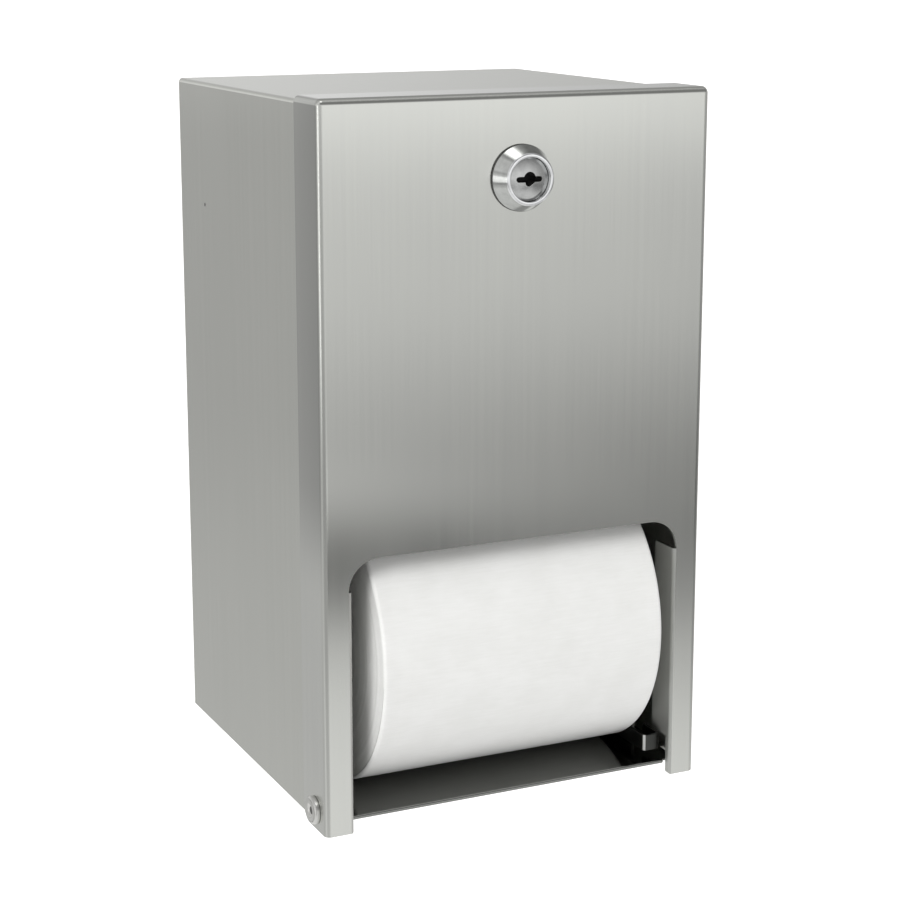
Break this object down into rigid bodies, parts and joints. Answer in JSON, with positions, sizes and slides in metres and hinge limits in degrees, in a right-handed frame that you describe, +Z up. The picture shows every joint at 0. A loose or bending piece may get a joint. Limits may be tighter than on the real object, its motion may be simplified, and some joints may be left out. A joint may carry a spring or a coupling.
{
  "type": "two-roll toilet paper dispenser",
  "caption": "Wall-mounted stainless steel cabinet that stacks two toilet rolls behind a locking drop-down door, with an arch for the lower roll and a release arm for the reserve roll.",
  "frame": {"origin": "centre of the four wall screw holes, on the wall plane behind the cabinet's back, 133 mm above the bottoms of the door's legs", "axes": "+X to the right of a person facing the front, +Y into the wall, +Z up; the front faces -Y"},
  "size_m": [0.1594, 0.1602, 0.266],
  "materials": {
    "stainless_door": "satin stainless steel, grain along the height",
    "stainless_cabinet": "satin stainless steel, grain along the height",
    "stainless_inner": "mill finish stainless steel",
    "stainless_hardware": "bright turned stainless steel",
    "chrome_lock": "polished chrome plate",
    "zinc_plated_steel": "bright zinc plate",
    "spring_steel": "black phosphate on spring steel",
    "nylon": "natural moulded nylon",
    "moulded_abs": "grey moulded ABS, fine texture",
    "core_board": "grey-brown spiral wound board",
    "tissue_paper": "white two-ply tissue, wound in layers"
  },
  "bodies": {
    "cabinet": {"cabinet_wrap": "stainless_cabinet", "cabinet_back": "stainless_cabinet", "cabinet_floor": "stainless_cabinet", "strike_bracket": "stainless_inner", "track_plate_left": "stainless_inner", "track_plate_right": "stainless_inner", "track_rivets": "stainless_hardware", "hinge_rivets": "stainless_hardware", "hinge_washers": "stainless_hardware", "shaft_bushes": "nylon", "stop_pins": "stainless_hardware"},
    "door": {"door_shell": "stainless_door", "lock_housing": "chrome_lock", "lock_nut": "zinc_plated_steel"},
    "lock": {"lock_plug": "chrome_lock", "lock_cam": "zinc_plated_steel", "cam_washer": "zinc_plated_steel", "cam_screw": "zinc_plated_steel"},
    "release": {"release_arm_right": "stainless_inner", "release_arm_left": "stainless_inner", "release_shaft": "stainless_hardware", "shaft_clips": "spring_steel"},
    "lower_roll": {"lower_paper_roll": "tissue_paper", "lower_core": "core_board"},
    "upper_roll": {"upper_paper_roll": "tissue_paper", "upper_core": "core_board"},
    "lower_spindle": {"lower_spindle": "moulded_abs"},
    "upper_spindle": {"upper_spindle": "moulded_abs"}
  },
  "joints": [
    {"name": "door_hinge", "type": "hinge", "parent": "cabinet", "child": "door", "pos_m": [0, -0.1414, -0.1258], "axis": [1, 0, 0], "range_deg": [0, 110]},
    {"name": "lock_turn", "type": "hinge", "parent": "door", "child": "lock", "pos_m": [0, -0.152, 0.103], "axis": [0, 1, 0], "range_deg": [0, 90]},
    {"name": "release_lift", "type": "hinge", "parent": "cabinet", "child": "release", "pos_m": [0, -0.06, -0.119], "axis": [-1, 0, 0], "range_deg": [0, 8]},
    {"name": "lower_roll_spin", "type": "hinge", "parent": "cabinet", "child": "lower_roll", "pos_m": [0, -0.1052, -0.0726], "axis": [1, 0, 0], "continuous": true},
    {"name": "upper_roll_spin", "type": "hinge", "parent": "cabinet", "child": "upper_roll", "pos_m": [0, -0.086, 0.0413], "axis": [1, 0, 0], "continuous": true},
    {"name": "lower_spindle_spin", "type": "hinge", "parent": "cabinet", "child": "lower_spindle", "pos_m": [0, -0.1052, -0.0743], "axis": [1, 0, 0], "continuous": true},
    {"name": "upper_spindle_spin", "type": "hinge", "parent": "cabinet", "child": "upper_spindle", "pos_m": [0, -0.086, 0.043], "axis": [1, 0, 0], "continuous": true}
  ]
}
